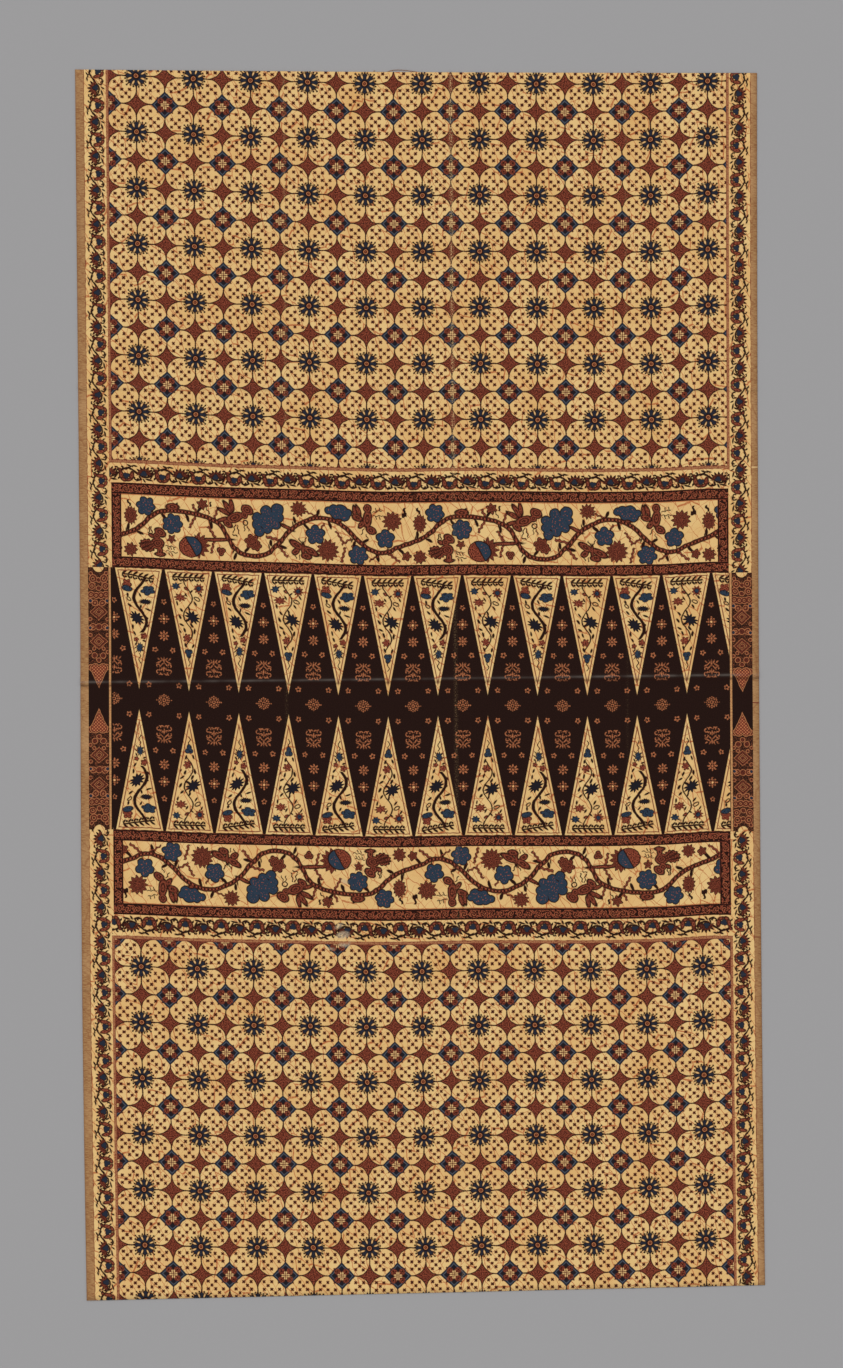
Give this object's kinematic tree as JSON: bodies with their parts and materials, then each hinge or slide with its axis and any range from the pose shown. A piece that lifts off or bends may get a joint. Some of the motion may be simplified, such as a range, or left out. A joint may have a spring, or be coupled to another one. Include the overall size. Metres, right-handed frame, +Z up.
{
  "type": "sarong",
  "caption": "Flat wrap skirt cloth of batik printed cotton, one woven length with a dark centre panel, laid out open.",
  "frame": {"origin": "under the middle of the cloth's outline, on the surface that it lies on", "axes": "+Z up out of the printed face, +Y along the selvedges towards the top end, +X across the width"},
  "size_m": [1.0756, 1.919, 0.003],
  "materials": {
    "printed_cotton": "plain woven cotton, wax-resist dyed in cream, red-brown, dark brown and indigo, soft matt"
  },
  "bodies": {
    "root": {"sarong_cloth": "printed_cotton"}
  },
  "joints": []
}
